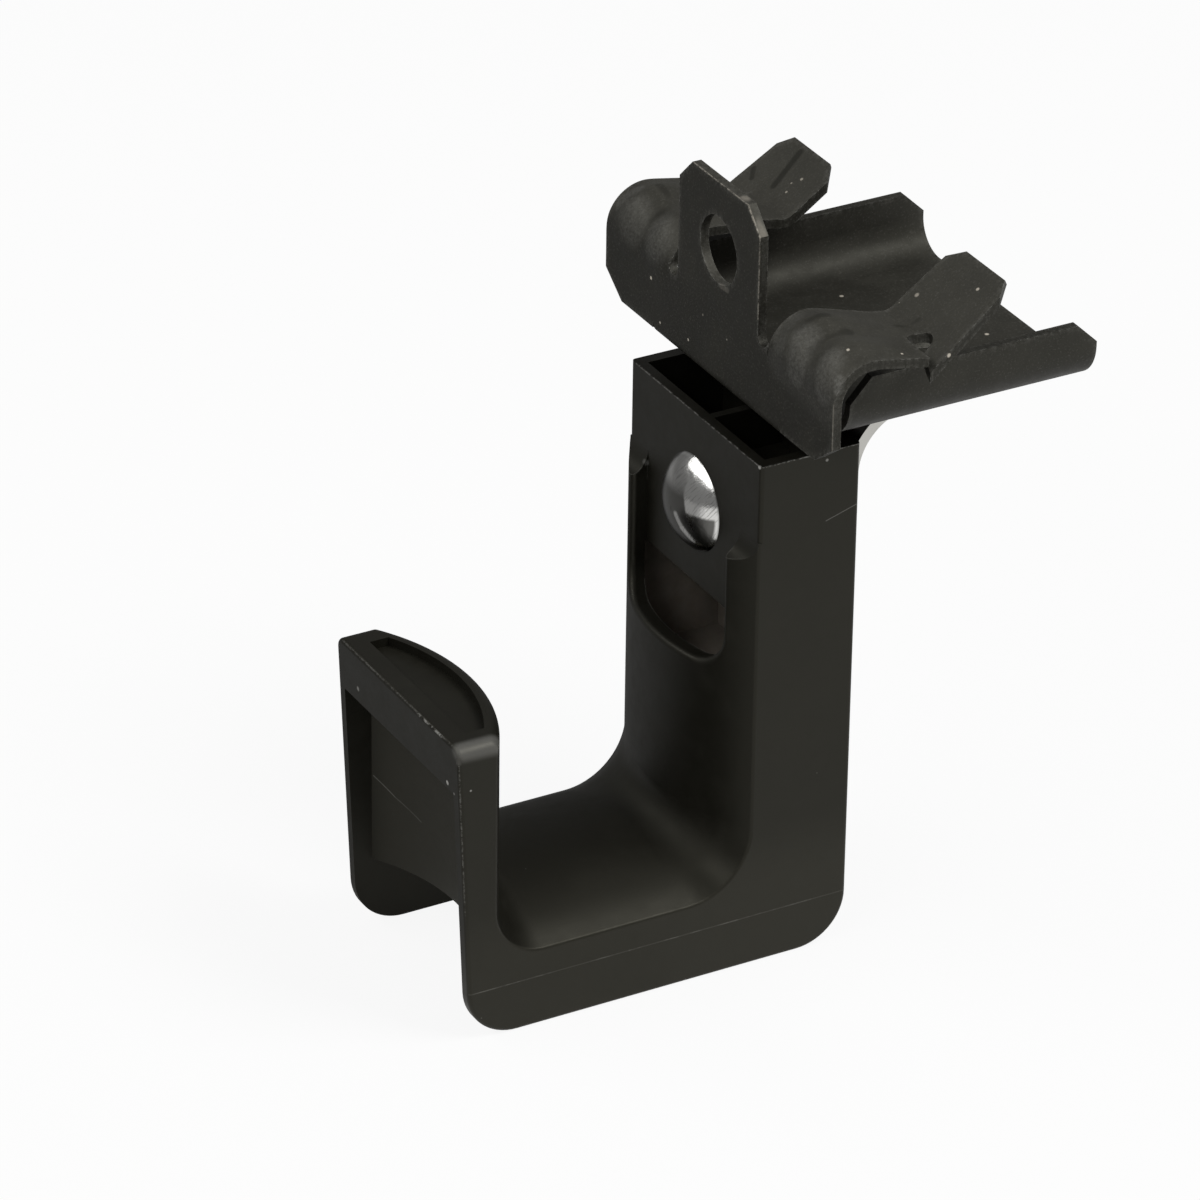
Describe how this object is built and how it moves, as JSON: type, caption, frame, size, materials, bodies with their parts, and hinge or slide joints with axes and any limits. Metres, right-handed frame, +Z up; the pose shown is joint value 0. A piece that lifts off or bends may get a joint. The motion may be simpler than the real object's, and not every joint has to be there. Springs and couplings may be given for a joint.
{
  "type": "j hook cable support",
  "caption": "J-shaped moulded cable hook with a crowned saddle, riveted to a folded spring-steel clamp that grips a beam flange.",
  "frame": {"origin": "beam clamp's flange slot: on the rear face of the front plate, on the middle plane, level with the tops of the channel walls that the flange rests on", "axes": "+Z up as the hook hangs in use, +X from the hook's tip towards the clamp's channel, the way the beam flange leaves the slot, +Y across the width"},
  "size_m": [0.0721, 0.047, 0.0853],
  "materials": {
    "black_nylon": "satin moulded black nylon",
    "polished_steel": "polished",
    "zinc_steel": "bright zinc plate",
    "black_spring_steel": "black oxide, lightly oiled"
  },
  "bodies": {
    "root": {"hook_body": "black_nylon", "hook_rivet": "polished_steel", "rear_bracket": "zinc_steel", "clamp_rivet": "black_spring_steel", "beam_clamp": "black_spring_steel"}
  },
  "joints": []
}
